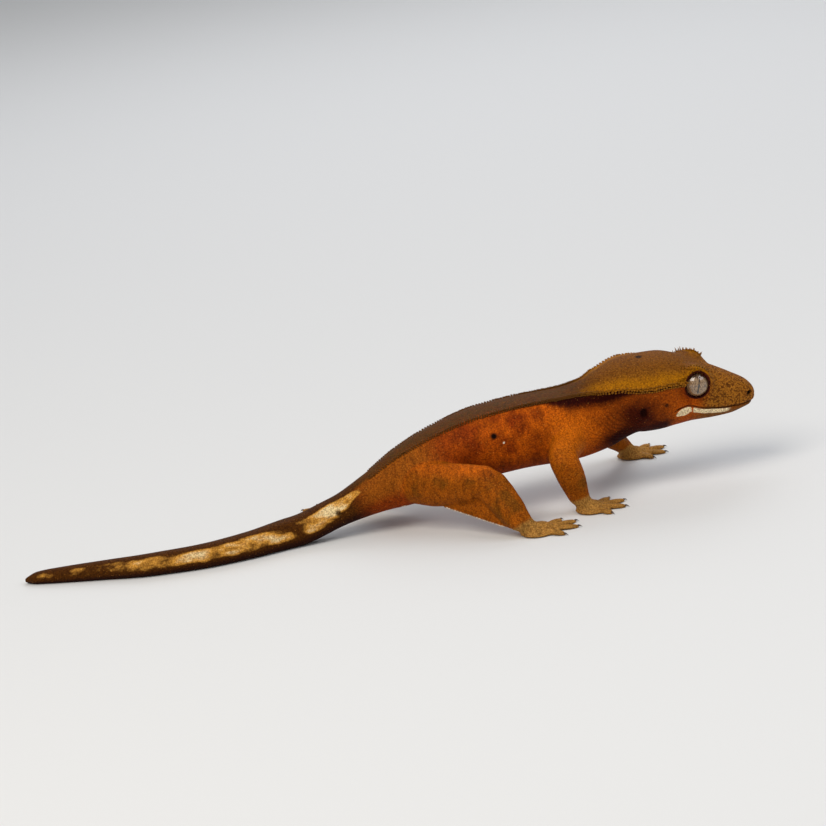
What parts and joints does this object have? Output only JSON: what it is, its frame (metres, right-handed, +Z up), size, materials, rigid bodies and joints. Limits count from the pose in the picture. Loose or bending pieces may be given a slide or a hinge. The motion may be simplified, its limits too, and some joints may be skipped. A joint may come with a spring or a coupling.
{
  "type": "crested gecko figure",
  "caption": "Life-size crested gecko standing in mid stride, head raised, with lash spines over the eyes, a spiny crest along each side of the back and a tail that trails on the ground.",
  "frame": {"origin": "middle of the footprint, at the level of the ground that the feet and the tail rest on", "axes": "+X from the tail tip towards the snout, +Y to the animal's own left, +Z up"},
  "size_m": [0.188, 0.0674, 0.034],
  "materials": {
    "head_skin": "matt granular skin",
    "body_skin": "matt granular skin",
    "tail_skin": "matt granular skin",
    "limb_skin": "matt granular skin",
    "eye": "wet gloss"
  },
  "bodies": {
    "root": {"head": "head_skin", "lower_jaw": "head_skin", "neck": "head_skin", "eye_right": "eye", "eye_left": "eye", "chest": "body_skin", "abdomen": "body_skin", "pelvis": "body_skin", "tail_base": "tail_skin", "tail_front": "tail_skin", "tail_middle": "tail_skin", "tail_tip": "tail_skin", "upper_arm_right": "limb_skin", "forearm_right": "limb_skin", "hand_right": "limb_skin", "thigh_right": "limb_skin", "shin_right": "limb_skin", "foot_right": "limb_skin", "upper_arm_left": "limb_skin", "forearm_left": "limb_skin", "hand_left": "limb_skin", "thigh_left": "limb_skin", "shin_left": "limb_skin", "foot_left": "limb_skin"}
  },
  "joints": []
}
